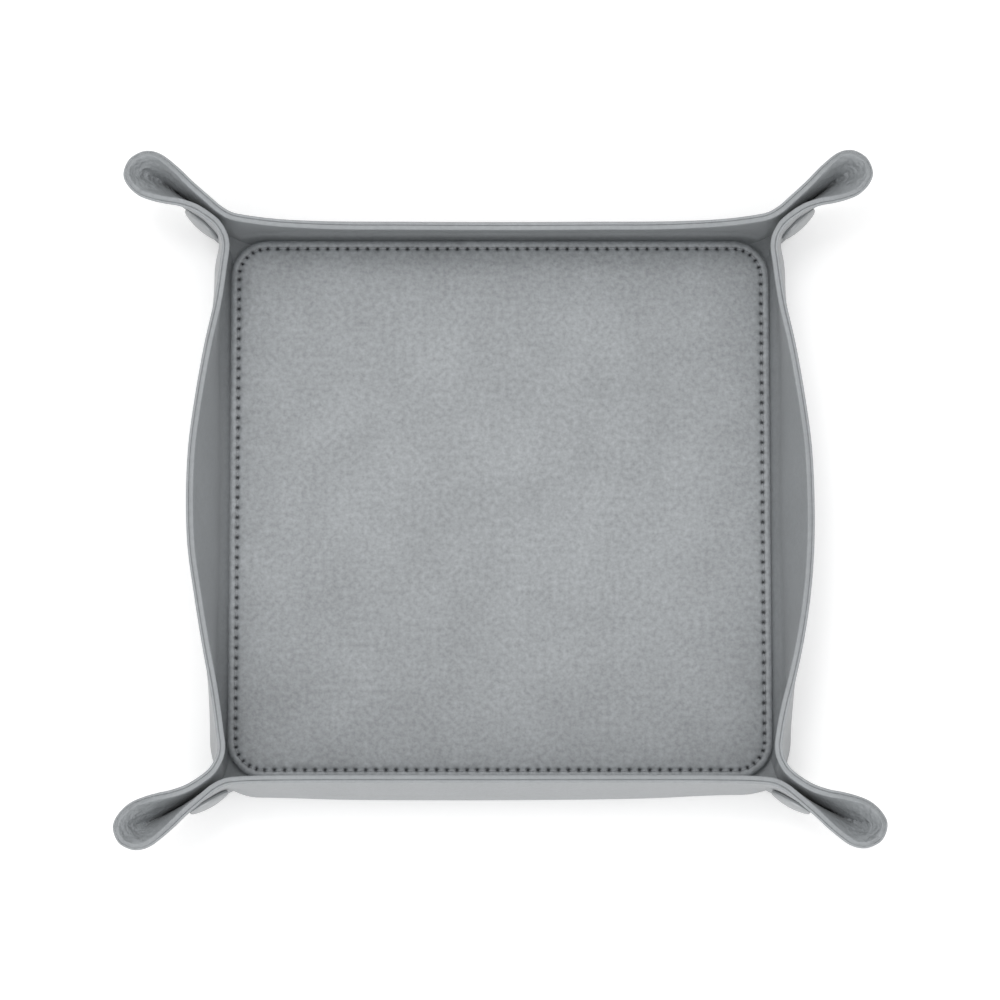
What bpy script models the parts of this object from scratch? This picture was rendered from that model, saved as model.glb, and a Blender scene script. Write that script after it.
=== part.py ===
"""Square leatherette tray whose corners are pinched into ears by press studs.

The tray is one sheet of two plies, an outer cover and a lining. The sheet is folded up
along four lines into walls, and the spare square of sheet at each corner is pinched into
an upright loop, the ear. A press stud through the neck of the ear holds it. A board
covered in the same leatherette, stitched round its edge, lies on the floor.

Metres, +Z up. The origin is the middle of the underside. North is +Y and east is +X.
"""

import math

import bmesh
import bpy
from mathutils import Matrix, Vector

# The folded sheet
FLOOR_HALF = 0.0774      # middle of the tray to the fold of a wall, at mid sheet
WALL_HEIGHT = 0.034
PLY = 0.0009             # the cover and the lining are equally thick
GLUE_GAP = 0.0003        # between the two plies
FOLD_SLIT = 0.0003       # each side of the mitre between the floor and a wall
CORNER_LEAN = -0.0015    # how far the rim stands outside the fold at the corners
NORTH_BOW = -0.0021      # how much further out the middle of each rim stands
SOUTH_BOW = 0.0006
SIDE_BOW = 0.0079
BOW_POWER = 1.6          # how full the bow is between its ends
WALL_PANELS = 16         # flat panels that make the bow of a wall

# The ears, each in a frame whose u runs out along the ear and v runs across it
EAR_ANGLE = math.radians(30.5)   # the ear's line, from the east-west axis
NECK_HALF = 0.0019       # middle of the ear to the mid sheet of one layer
NECK_LENGTH = 0.0165     # straight part of a layer, at the rim
LOOP_START = 0.0246      # where the loop is widest, at the rim
LOOP_HALF = 0.0057       # half the width of the loop there
EAR_LENGTH = 0.0306      # corner to the mid sheet of the nose, at the rim
NOSE_HEIGHT = 0.0334     # height of the nose of the ear
ROOT_HEIGHT = 0.003      # height of the lower edge of the ear
ROOT_LENGTH = 0.0028     # corner to the nose, at the lower edge
HINGE_SLIT = 0.0004      # between two parts of the sheet that turn on each other
SEAM_SLIT = 0.0009       # between the two halves of an ear, at the rim of the nose
SEAM_TAPER = 0.0013      # how much more each half is cut back at the root of the nose
TIP_START_SHARE = 0.2    # how far up the ear its tips begin
EAR_RINGS = 3            # rows of faces up an ear
SPREAD_PANELS = 4        # faces along the part of a layer that spreads
NOSE_PANELS = 3          # faces along each half of the bend of a layer

# The press studs
STUD_REACH = 0.0052      # corner to the press stud's axis, along the ear
STUD_HEIGHT = 0.019
CAP_RADIUS = 0.0054
CAP_STANDOFF = 0.0014    # underside of the cap to the sheet
CAP_EDGE = 0.0006        # thickness of the cap's edge
CAP_DOME = 0.0012        # rise of the cap above its edge
BACK_RADIUS = 0.0044
BACK_STANDOFF = 0.0006
BACK_THICKNESS = 0.0007
BACK_DOME = 0.0003
SHANK_RADIUS = 0.0014
SHANK_CLEARANCE = 0.0004
SOCKET_RADIUS = 0.0036
SOCKET_BORE = 0.002
SOCKET_FACE = 0.0001     # how far the socket's face stands past the middle of the ear
STUD_RADIUS = 0.0034
STUD_PLATE = 0.0007
POST_RADIUS = 0.0015
POST_WAIST = 0.0012
POST_LENGTH = 0.0019
SEAT_GAP = 0.0003        # a metal part to the ply that it is pressed on
TURNED_STEPS = 20        # sides of a turned part

# The pad on the floor
PAD_MARGIN = 0.0024      # the fold of a wall to the edge of the pad
PAD_CORNER = 0.010
PAD_CORNER_LEAST = 0.0025    # the corner radius of the rings inside the seam
PAD_HEIGHT = 0.003
PAD_CROWN = 0.0005       # how much higher the middle of the pad is than its stitching
PAD_EDGE_ROUND = 0.0009  # how far the pad's edge is rounded over
PAD_EDGE_BEVEL = 0.0003  # the flat of that rounding
PAD_SKIN = 0.0008
PAD_GAP = 0.0003         # the pad to the lining, and its board to its cover
STITCH_INSET = 0.0016
GROOVE_DEPTH = 0.0004
GROOVE_HALF = 0.0007
THREAD_RADIUS = 0.00022
CORNER_STEPS = 5         # faces round a corner of the pad
THREAD_SIDES = 6

CORNERS = {"ne": (1, 1), "nw": (-1, 1), "sw": (-1, -1), "se": (1, -1)}
DOME_SHARES = (1, 0.9, 0.7, 0.4, 0)       # rings of a cap's dome, from its edge inwards
CROWN_SHARES = (0.12, 0.25, 0.5)          # rings of the pad's crown, from its seam inwards
CROWN_RISE_SHARE = 1 / 3                  # the crown reaches its full height here
SLOPE_SHARE = 0.001                       # a small step in place or rise, to measure a slope

SHEET = 2 * PLY + GLUE_GAP
PAD_HALF = FLOOR_HALF - PAD_MARGIN
MERGE = 1e-7             # points nearer than this are the same point
COVER_SPAN = (GLUE_GAP / 2, SHEET / 2)
LINING_SPAN = (-SHEET / 2, -GLUE_GAP / 2)
WHOLE_SPAN = (-SHEET / 2, SHEET / 2)
EAR_LINE = Vector((math.cos(EAR_ANGLE), math.sin(EAR_ANGLE)))
EAR_ACROSS = Vector((-math.sin(EAR_ANGLE), math.cos(EAR_ANGLE)))


def material(name, colour, roughness, metallic):
    made = bpy.data.materials.new(name)
    made.use_nodes = True
    shader = made.node_tree.nodes["Principled BSDF"]
    shader.inputs["Base Color"].default_value = (*colour, 1)
    shader.inputs["Roughness"].default_value = roughness
    shader.inputs["Metallic"].default_value = metallic
    return made


def solid(name, mesh, finish, joint):
    """An object from a bmesh, its faces turned outwards, carried by the joint's empty."""
    bmesh.ops.remove_doubles(mesh, verts=mesh.verts, dist=MERGE)
    bmesh.ops.recalc_face_normals(mesh, faces=mesh.faces)
    data = bpy.data.meshes.new(name)
    mesh.to_mesh(data)
    mesh.free()
    data.materials.append(finish)
    data.shade_smooth()
    data.set_sharp_from_angle(angle=math.radians(35))
    made = bpy.data.objects.new(name, data)
    bpy.context.collection.objects.link(made)
    carry(made, joint)
    return made


def carry(thing, joint):
    if joint:
        thing.parent = joint
        thing.matrix_parent_inverse = joint.matrix_world.inverted()


def joint_empty(name, foot, head, parent):
    """An empty on a joint's axis: it stands at foot with its Z towards head."""
    made = bpy.data.objects.new(name, None)
    bpy.context.collection.objects.link(made)
    made.empty_display_size = PAD_CORNER
    turn = (head - foot).to_track_quat("Z", "Y")
    made.matrix_world = Matrix.Translation(foot) @ turn.to_matrix().to_4x4()
    bpy.context.view_layer.update()
    if parent:
        placed = made.matrix_world.copy()
        made.parent = parent
        made.matrix_parent_inverse = parent.matrix_world.inverted()
        made.matrix_world = placed
        bpy.context.view_layer.update()
    return made


def slab(near, far):
    """A closed shell between two like grids of points."""
    mesh = bmesh.new()
    rows, columns = len(near), len(near[0])
    sides = [[[mesh.verts.new(point) for point in row] for row in grid] for grid in (near, far)]
    for side in sides:
        for i in range(rows - 1):
            for j in range(columns - 1):
                mesh.faces.new((side[i][j], side[i + 1][j], side[i + 1][j + 1], side[i][j + 1]))
    border = [(i, 0) for i in range(rows)] + [(rows - 1, j) for j in range(1, columns)]
    border += [(i, columns - 1) for i in range(rows - 2, -1, -1)]
    border += [(0, j) for j in range(columns - 2, 0, -1)]
    for (i, j), (k, m) in zip(border, border[1:] + border[:1]):
        mesh.faces.new((sides[0][i][j], sides[0][k][m], sides[1][k][m], sides[1][i][j]))
    return mesh


def smooth(share):
    share = min(max(share, 0), 1)
    return share * share * (3 - 2 * share)


def crossing(point_a, line_a, point_b, line_b):
    """Where two lines in plan meet."""
    step = (point_b - point_a).cross(line_b) / line_a.cross(line_b)
    return point_a + step * line_a


def corner_at(height):
    """The north-east corner of the mid sheet in plan, at a height."""
    side = FLOOR_HALF + CORNER_LEAN * height / WALL_HEIGHT
    return Vector((side, side))


# Each corner of the tray is the north-east one, mirrored. An ear has a long half, which
# grows from the north or south wall, and a side half, from the east or west wall.
LONG_HALF = {"wall_line": Vector((1, 0)), "wall_out": Vector((0, 1)), "across": 1}
SIDE_HALF = {"wall_line": Vector((0, 1)), "wall_out": Vector((1, 0)), "across": -1}


def mitre_point(half, out):
    """Where the wall's layer meets the neck's, out from mid sheet, from the corner."""
    neck = half["across"] * (NECK_HALF + out) * EAR_ACROSS
    return crossing(out * half["wall_out"], half["wall_line"], neck, EAR_LINE)


def ear_plan(place, top):
    """(u, v) of the mid sheet. Place runs 0 to 1 along the straight part, to 2 where the
    layer spreads and to 3 round the nose. Top is False at the root and True at the rim."""
    straight = NECK_LENGTH if top else (ROOT_LENGTH - NECK_HALF) / 2
    widest = LOOP_START if top else ROOT_LENGTH - NECK_HALF
    half = LOOP_HALF if top else NECK_HALF
    length = EAR_LENGTH if top else ROOT_LENGTH
    if place <= 1:
        return straight * place, NECK_HALF
    if place <= 2:
        share = place - 1
        return straight + (widest - straight) * share, NECK_HALF + (half - NECK_HALF) * smooth(share)
    bend = math.pi / 2 * (place - 2)
    return widest + (length - widest) * math.sin(bend), half * math.cos(bend)


def ear_mid(half, place, rise):
    """Mid sheet of a half of the north-east ear: rise is 0 at the root and 1 at the rim."""
    top_u, top_v = ear_plan(place, True)
    low_u, low_v = ear_plan(place, False)
    top_height = WALL_HEIGHT + (NOSE_HEIGHT - WALL_HEIGHT) * smooth(top_u / EAR_LENGTH)
    height = ROOT_HEIGHT + (top_height - ROOT_HEIGHT) * rise
    u = low_u + (top_u - low_u) * rise
    v = half["across"] * (low_v + (top_v - low_v) * rise)
    plan = corner_at(height) + u * EAR_LINE + v * EAR_ACROSS
    return Vector((plan.x, plan.y, height))


def ear_axes(half, place, rise):
    """Unit vectors of the mid sheet: along the layer, and out of its outer face."""
    near, far = max(place - SLOPE_SHARE, 0), min(place + SLOPE_SHARE, 3)
    along = (ear_mid(half, far, rise) - ear_mid(half, near, rise)).normalized()
    high, low = min(rise + SLOPE_SHARE, 1), max(rise - SLOPE_SHARE, 0)
    up = ear_mid(half, place, high) - ear_mid(half, place, low)
    out = half["across"] * up.cross(along)
    return along, out.normalized()


def ear_point(half, place, rise, out, shift=0):
    """A point of an ear's layer, out from mid sheet and shifted along the layer."""
    along, normal = ear_axes(half, place, rise)
    return ear_mid(half, place, rise) + shift * along + out * normal


def neck_point(half, column, rise, out):
    """The neck's first column lies on its mitre with the wall, its last at the nose joint."""
    if column:
        shift = -HINGE_SLIT / 2 if column == NECK_PLACES[-1] else 0
        return ear_point(half, column, rise, out, shift)
    height = ROOT_HEIGHT + (WALL_HEIGHT - ROOT_HEIGHT) * rise
    plan = corner_at(height) + mitre_point(half, out) + HINGE_SLIT / 2 * EAR_LINE
    return Vector((plan.x, plan.y, height))


def tip_point(half, column, rise, out):
    """The tip's last column is the seam, cut back more towards the root so that it opens freely."""
    rise = TIP_START_SHARE + (1 - TIP_START_SHARE) * rise
    shift = HINGE_SLIT / 2 if column == TIP_PLACES[0] else 0
    if column == TIP_PLACES[-1]:
        shift -= SEAM_SLIT / 2 + SEAM_TAPER * (1 - rise)
    return ear_point(half, column, rise, out, shift)


NOSE_JOINT = 2.5
NECK_PLACES = [0, 1] + [1 + (i + 1) / SPREAD_PANELS for i in range(SPREAD_PANELS)]
NECK_PLACES += [2 + (NOSE_JOINT - 2) * (i + 1) / NOSE_PANELS for i in range(NOSE_PANELS)]
TIP_PLACES = [NOSE_JOINT + (3 - NOSE_JOINT) * i / NOSE_PANELS for i in range(NOSE_PANELS + 1)]


def mirrored(point, corner):
    return Vector((point.x * corner[0], point.y * corner[1], point.z))


def layer(name, point_of, half, places, span, corner, finish, joint):
    """One ply, or the whole sheet, of a part of an ear."""
    grids = []
    for out in span:
        rises = [i / EAR_RINGS for i in range(EAR_RINGS + 1)]
        grids.append(
            [[mirrored(point_of(half, place, rise, out), corner) for rise in rises] for place in places]
        )
    return solid(name, slab(*grids), finish, joint)


def wall(name, half, turn, bow, span, finish, joint):
    """One ply of a wall. It is drawn as the wall that half grows from, then turned."""
    grids = []
    for out in span:
        foot = SHEET / 2 - out + FOLD_SLIT
        rows = []
        for height in (foot, WALL_HEIGHT):
            end = corner_at(height) + mitre_point(half, out)
            reach = end.dot(half["wall_line"]) - HINGE_SLIT / 2
            row = []
            for i in range(WALL_PANELS + 1):
                share = 2 * i / WALL_PANELS - 1
                bulge = bow * math.cos(math.pi / 2 * share) ** BOW_POWER if abs(share) < 1 else 0
                lean = (CORNER_LEAN + bulge) * height / WALL_HEIGHT
                plan = half["wall_line"] * reach * share + half["wall_out"] * (FLOOR_HALF + lean + out)
                row.append(Vector((plan.x * turn, plan.y * turn, height)))
            rows.append(row)
        grids.append(rows)
    return solid(name, slab(*grids), finish, joint)


def floor_ply(name, span, finish):
    """A ply of the floor, its edges mitred against the walls."""
    mesh = bmesh.new()
    rings = []
    for out in span:
        height = SHEET / 2 - out
        side = FLOOR_HALF + SHEET / 2 - height - FOLD_SLIT
        ring = [mesh.verts.new((x * side, y * side, height)) for x, y in CORNERS.values()]
        rings.append(ring)
    for ring in rings:
        mesh.faces.new(ring)
    for i in range(len(CORNERS)):
        mesh.faces.new((rings[0][i - 1], rings[0][i], rings[1][i], rings[1][i - 1]))
    return solid(name, mesh, finish, None)


def turned(name, profile, centre, axis, finish, joint):
    """A turned part: profile holds its outline as (radius, distance along the axis)."""
    mesh = bmesh.new()
    verts = [mesh.verts.new((radius, 0, along)) for radius, along in profile]
    edges = [mesh.edges.new(pair) for pair in zip(verts, verts[1:])]
    if profile[0][0] > 0:
        edges.append(mesh.edges.new((verts[-1], verts[0])))
    bmesh.ops.spin(
        mesh,
        geom=verts + edges,
        cent=(0, 0, 0),
        axis=(0, 0, 1),
        angle=2 * math.pi,
        steps=TURNED_STEPS,
        use_duplicate=False,
    )
    turn = axis.to_track_quat("Z", "Y").to_matrix().to_4x4()
    bmesh.ops.transform(mesh, matrix=Matrix.Translation(centre) @ turn, verts=mesh.verts)
    return solid(name, mesh, finish, joint)


def cut_round(name, target, centre, axis, radius):
    """Cuts a round hole through a ply of a neck."""
    mesh = bmesh.new()
    bmesh.ops.create_cone(
        mesh,
        cap_ends=True,
        segments=TURNED_STEPS,
        radius1=radius,
        radius2=radius,
        depth=2 * SHEET,
    )
    turn = axis.to_track_quat("Z", "Y").to_matrix().to_4x4()
    bmesh.ops.transform(mesh, matrix=Matrix.Translation(centre) @ turn, verts=mesh.verts)
    data = bpy.data.meshes.new(name)
    mesh.to_mesh(data)
    mesh.free()
    cutter = bpy.data.objects.new(name, data)
    bpy.context.collection.objects.link(cutter)
    cutter.hide_render = True
    cutter.display_type = "WIRE"
    hole = target.modifiers.new("hole", "BOOLEAN")
    hole.operation = "DIFFERENCE"
    hole.object = cutter


def press_stud(tag, corner, halves, carriers, layers):
    """The four metal parts of one ear. The cap is on the half that faces south."""
    facing, away = ("side", "long") if corner[1] > 0 else ("long", "side")
    plan = corner_at(STUD_HEIGHT) + STUD_REACH * EAR_LINE
    middle = mirrored(Vector((plan.x, plan.y, STUD_HEIGHT)), corner)
    rise = (STUD_HEIGHT - ROOT_HEIGHT) / (WALL_HEIGHT - ROOT_HEIGHT)
    outs = {}
    for side in halves:
        outs[side] = mirrored(ear_axes(halves[side], 1 / 2, rise)[1], corner)
        seat = middle + NECK_HALF * outs[side]
        bores = {"cover": SHANK_RADIUS + SHANK_CLEARANCE}
        bores["lining"] = (SOCKET_RADIUS if side == facing else STUD_RADIUS) + SHANK_CLEARANCE
        for ply, radius in bores.items():
            cut_round(f"cutter_{tag}_{side}_{ply}", layers[side][ply], seat, outs[side], radius)

    outer = NECK_HALF + SHEET / 2
    seat = NECK_HALF + GLUE_GAP / 2 - SEAT_GAP
    under = outer + CAP_STANDOFF
    shank_end = POST_LENGTH - (seat - STUD_PLATE) + SHANK_CLEARANCE
    dome = [(CAP_RADIUS * share, CAP_DOME * math.sqrt(1 - share * share)) for share in DOME_SHARES]
    cap = [(0, shank_end), (SHANK_RADIUS, shank_end), (SHANK_RADIUS, under), (CAP_RADIUS, under)]
    cap += [(radius, under + CAP_EDGE + arch) for radius, arch in dome]
    turned(f"snap_{tag}_cap", cap, middle, outs[facing], enamel, carriers[facing])

    socket = [(SOCKET_BORE, seat), (SOCKET_BORE, -SOCKET_FACE)]
    socket += [(SOCKET_RADIUS, -SOCKET_FACE), (SOCKET_RADIUS, seat)]
    turned(f"snap_{tag}_socket", socket, middle, outs[facing], steel, carriers[facing])

    plate = seat - STUD_PLATE
    neck_end = plate - POST_LENGTH / 2
    stud = [(0, plate - POST_LENGTH), (POST_WAIST, plate - POST_LENGTH), (POST_RADIUS, neck_end)]
    stud += [(POST_WAIST, plate), (STUD_RADIUS, plate), (STUD_RADIUS, seat), (0, seat)]
    turned(f"snap_{tag}_stud", stud, middle, outs[away], steel, carriers[away])

    back_under = outer + BACK_STANDOFF
    back_top = back_under + BACK_THICKNESS
    back_end = seat + SEAT_GAP
    back = [(0, back_end), (SHANK_RADIUS, back_end), (SHANK_RADIUS, back_under)]
    back += [(BACK_RADIUS, back_under), (BACK_RADIUS, back_top), (BACK_RADIUS / 2, back_top + BACK_DOME)]
    back += [(0, back_top + BACK_DOME)]
    turned(f"snap_{tag}_back", back, middle, outs[away], steel, carriers[away])


def rounded_square(half, corner, height):
    """A ring of points round the pad, with the same number at any size."""
    ring = []
    for quarter in range(4):
        for i in range(CORNER_STEPS + 1):
            angle = math.pi / 2 * (quarter + i / CORNER_STEPS)
            centre = half - corner
            x = math.copysign(centre, math.cos(math.pi / 2 * (quarter + 1 / 2))) + corner * math.cos(angle)
            y = math.copysign(centre, math.sin(math.pi / 2 * (quarter + 1 / 2))) + corner * math.sin(angle)
            ring.append(Vector((x, y, height)))
    return ring


def loft(mesh, rings):
    """Faces between rings of points, one after another."""
    made = [[mesh.verts.new(point) for point in ring] for ring in rings]
    for low, high in zip(made, made[1:]):
        for i in range(len(low)):
            mesh.faces.new((low[i - 1], low[i], high[i], high[i - 1]))
    return made


def pad_cover():
    """The leatherette skin of the pad: an upturned tray, crowned, with a stitched groove."""
    foot = SHEET + PAD_GAP
    top = foot + PAD_HEIGHT
    groove = STITCH_INSET
    crown_foot = STITCH_INSET + GROOVE_HALF
    outer = [(0, foot), (0, top - PAD_EDGE_ROUND)]
    outer += [(PAD_EDGE_BEVEL, top - PAD_EDGE_BEVEL), (groove - GROOVE_HALF, top)]
    outer += [(groove, top - GROOVE_DEPTH), (crown_foot, top)]
    for share in CROWN_SHARES:
        inset = crown_foot + (PAD_HALF - crown_foot) * share
        outer.append((inset, top + PAD_CROWN * smooth(share / CROWN_RISE_SHARE)))
    crown = outer[-len(CROWN_SHARES) - 1:]
    under = [(inset, height - PAD_SKIN) for inset, height in reversed(crown)]
    under.append((groove, top - GROOVE_DEPTH - PAD_SKIN))
    under.append((PAD_SKIN + PAD_EDGE_BEVEL, top - PAD_SKIN - GROOVE_DEPTH))
    under += [(PAD_SKIN, top - PAD_SKIN - PAD_EDGE_ROUND), (PAD_SKIN, foot)]
    mesh = bmesh.new()
    outer_rings = [pad_ring(inset, height) for inset, height in outer]
    under_rings = [pad_ring(inset, height) for inset, height in under]
    outside = loft(mesh, outer_rings)
    inside = loft(mesh, under_rings)
    mesh.faces.new(outside[-1])
    mesh.faces.new(inside[0])
    for i in range(len(outside[0])):
        mesh.faces.new((inside[-1][i - 1], inside[-1][i], outside[0][i], outside[0][i - 1]))
    return solid("pad_cover", mesh, leatherette, None)


def pad_ring(inset, height):
    return rounded_square(PAD_HALF - inset, max(PAD_CORNER - inset, PAD_CORNER_LEAST), height)


def pad_board():
    foot = SHEET + PAD_GAP
    top = foot + PAD_HEIGHT - PAD_SKIN - PAD_GAP - GROOVE_DEPTH
    inset = PAD_SKIN + PAD_GAP
    mesh = bmesh.new()
    low, high = loft(mesh, [pad_ring(inset, foot), pad_ring(inset, top - PAD_EDGE_ROUND)])
    crown = loft(mesh, [pad_ring(inset + PAD_EDGE_ROUND, top)])[0]
    for i in range(len(high)):
        mesh.faces.new((high[i - 1], high[i], crown[i], crown[i - 1]))
    mesh.faces.new(low)
    mesh.faces.new(crown)
    return solid("pad_board", mesh, board, None)


def pad_stitching():
    """The seam's thread, lying in the groove round the pad."""
    height = SHEET + PAD_GAP + PAD_HEIGHT - GROOVE_DEPTH + PAD_GAP + THREAD_RADIUS
    path = pad_ring(STITCH_INSET, height)
    mesh = bmesh.new()
    rings = []
    for i, point in enumerate(path):
        ahead = (path[(i + 1) % len(path)] - path[i - 1]).normalized()
        across = ahead.cross(Vector((0, 0, 1)))
        ring = []
        for j in range(THREAD_SIDES):
            angle = 2 * math.pi * j / THREAD_SIDES
            spoke = math.cos(angle) * across + math.sin(angle) * Vector((0, 0, 1))
            ring.append(point + THREAD_RADIUS * spoke)
        rings.append(ring)
    loft(mesh, rings + rings[:1])
    return solid("pad_stitching", mesh, thread, None)


def ear_half(tag, side, half, corner, wall_joint):
    """The neck and the tip of one half of an ear, with their joints' empties."""
    inner = [mirrored(ear_foot(half, height), corner) for height in (ROOT_HEIGHT, WALL_HEIGHT)]
    neck_joint = joint_empty(f"joint_{tag}_{side}_neck", *inner, wall_joint)
    outer = [mirrored(ear_point(half, NOSE_JOINT, rise, SHEET / 2), corner) for rise in (0, 1)]
    tip_joint = joint_empty(f"joint_{tag}_{side}_tip", *outer, neck_joint)
    plies = {}
    for ply, span in (("cover", COVER_SPAN), ("lining", LINING_SPAN)):
        name = f"ear_{tag}_{side}_{ply}"
        plies[ply] = layer(name, neck_point, half, NECK_PLACES, span, corner, leatherette, neck_joint)
    name = f"ear_{tag}_{side}_tip"
    layer(name, tip_point, half, TIP_PLACES, WHOLE_SPAN, corner, leatherette, tip_joint)
    return neck_joint, plies


def ear_foot(half, height):
    """The neck turns on the line where the inner faces of the wall and the neck meet."""
    plan = corner_at(height) + mitre_point(half, -SHEET / 2)
    return Vector((plan.x, plan.y, height))


for old in list(bpy.data.objects):
    bpy.data.objects.remove(old, do_unlink=True)

leatherette = material("grey_leatherette", (0.31, 0.33, 0.34), 0.62, 0)
board = material("grey_board", (0.35, 0.34, 0.32), 0.9, 0)
thread = material("grey_thread", (0.22, 0.235, 0.245), 0.7, 0)
enamel = material("grey_enamel", (0.3, 0.315, 0.325), 0.4, 0.3)
steel = material("nickel_plate", (0.62, 0.62, 0.6), 0.3, 1)

# Each wall is drawn as the north or east one, then turned by half a turn or not.
WALLS = {
    "north": (LONG_HALF, 1, NORTH_BOW),
    "south": (LONG_HALF, -1, SOUTH_BOW),
    "east": (SIDE_HALF, 1, SIDE_BOW),
    "west": (SIDE_HALF, -1, SIDE_BOW),
}

floor_ply("floor_cover", COVER_SPAN, leatherette)
floor_ply("floor_lining", LINING_SPAN, leatherette)
pad_board()
pad_cover()
pad_stitching()

wall_joints = {}
for side, (half, turn, bow) in WALLS.items():
    fold = half["wall_out"] * (FLOOR_HALF + SHEET / 2) * turn
    foot = Vector((fold.x, fold.y, 0))
    line = half["wall_line"]
    head = foot + Vector((line.x, line.y, 0)) * FLOOR_HALF
    wall_joints[side] = joint_empty(f"joint_{side}_wall", foot, head, None)
    for ply, span in (("cover", COVER_SPAN), ("lining", LINING_SPAN)):
        wall(f"{side}_wall_{ply}", half, turn, bow, span, leatherette, wall_joints[side])

for tag, corner in CORNERS.items():
    halves = {"long": LONG_HALF, "side": SIDE_HALF}
    walls = {"long": "north" if corner[1] > 0 else "south", "side": "east" if corner[0] > 0 else "west"}
    carriers, layers = {}, {}
    for side, half in halves.items():
        joint = wall_joints[walls[side]]
        carriers[side], layers[side] = ear_half(tag, walls[side], half, corner, joint)
    press_stud(tag, corner, halves, carriers, layers)
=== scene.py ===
"""The snap tray in grey leatherette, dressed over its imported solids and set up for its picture."""

import math

import bpy
import numpy as np
from mathutils import Matrix, Vector


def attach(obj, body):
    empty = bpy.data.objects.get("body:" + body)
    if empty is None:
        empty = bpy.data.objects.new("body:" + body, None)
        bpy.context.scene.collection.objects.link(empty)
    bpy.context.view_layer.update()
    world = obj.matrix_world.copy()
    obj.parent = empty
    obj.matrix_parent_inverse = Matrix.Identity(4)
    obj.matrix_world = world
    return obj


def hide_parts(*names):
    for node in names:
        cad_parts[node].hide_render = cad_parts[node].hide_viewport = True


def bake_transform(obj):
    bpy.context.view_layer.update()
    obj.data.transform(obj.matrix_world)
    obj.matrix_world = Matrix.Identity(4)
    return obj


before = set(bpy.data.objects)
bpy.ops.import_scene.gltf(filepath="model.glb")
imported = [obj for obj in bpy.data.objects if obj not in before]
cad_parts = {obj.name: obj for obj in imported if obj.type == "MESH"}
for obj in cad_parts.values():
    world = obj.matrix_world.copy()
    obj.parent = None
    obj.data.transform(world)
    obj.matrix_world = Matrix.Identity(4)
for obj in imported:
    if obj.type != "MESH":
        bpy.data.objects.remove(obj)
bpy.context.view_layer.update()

# The floor of the tray. It is the middle of the one sheet that makes the tray: a cover and a
# lining of grey leatherette glued back to back. It runs out to the folds of the four walls and
# fills the foot of each corner.
SHEET = 0.0021
FOLD = 0.0774
FLAT_HALF = 0.0742
PLIES = {"cover": (0.0003, SHEET / 2), "lining": (-SHEET / 2, 0.00027)}
PEBBLE = 0.0008
CREASE_RELIEF = 22
# The cover is the same leatherette as the lining, painted a little lighter: painted light, for the outer
# faces lit by the pale floor.
COVER_COLOUR_WITH_PAINTED_LIGHT = (0.350, 0.367, 0.381)
LINING_COLOUR = (0.325, 0.342, 0.355)
CORNERS = {"ne": (1, 1), "nw": (-1, 1), "sw": (-1, -1), "se": (1, -1)}
FLOOR_CORNER = [
    (0.0658, FLAT_HALF), (0.0680, 0.0746), (0.0700, 0.0752), (0.0716, 0.0761), (0.0730, 0.0771),
    (0.0743, 0.0778), (0.0756, 0.0783), (0.0768, 0.0786), (0.0780, 0.0788), (0.0788, 0.0780),
    (0.0786, 0.0768), (0.0783, 0.0756), (0.0777, 0.0741), (0.0770, 0.0727), (0.0761, 0.0711),
    (0.0752, 0.0692), (0.0745, 0.0672), (FLAT_HALF, 0.0648),
]


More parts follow.
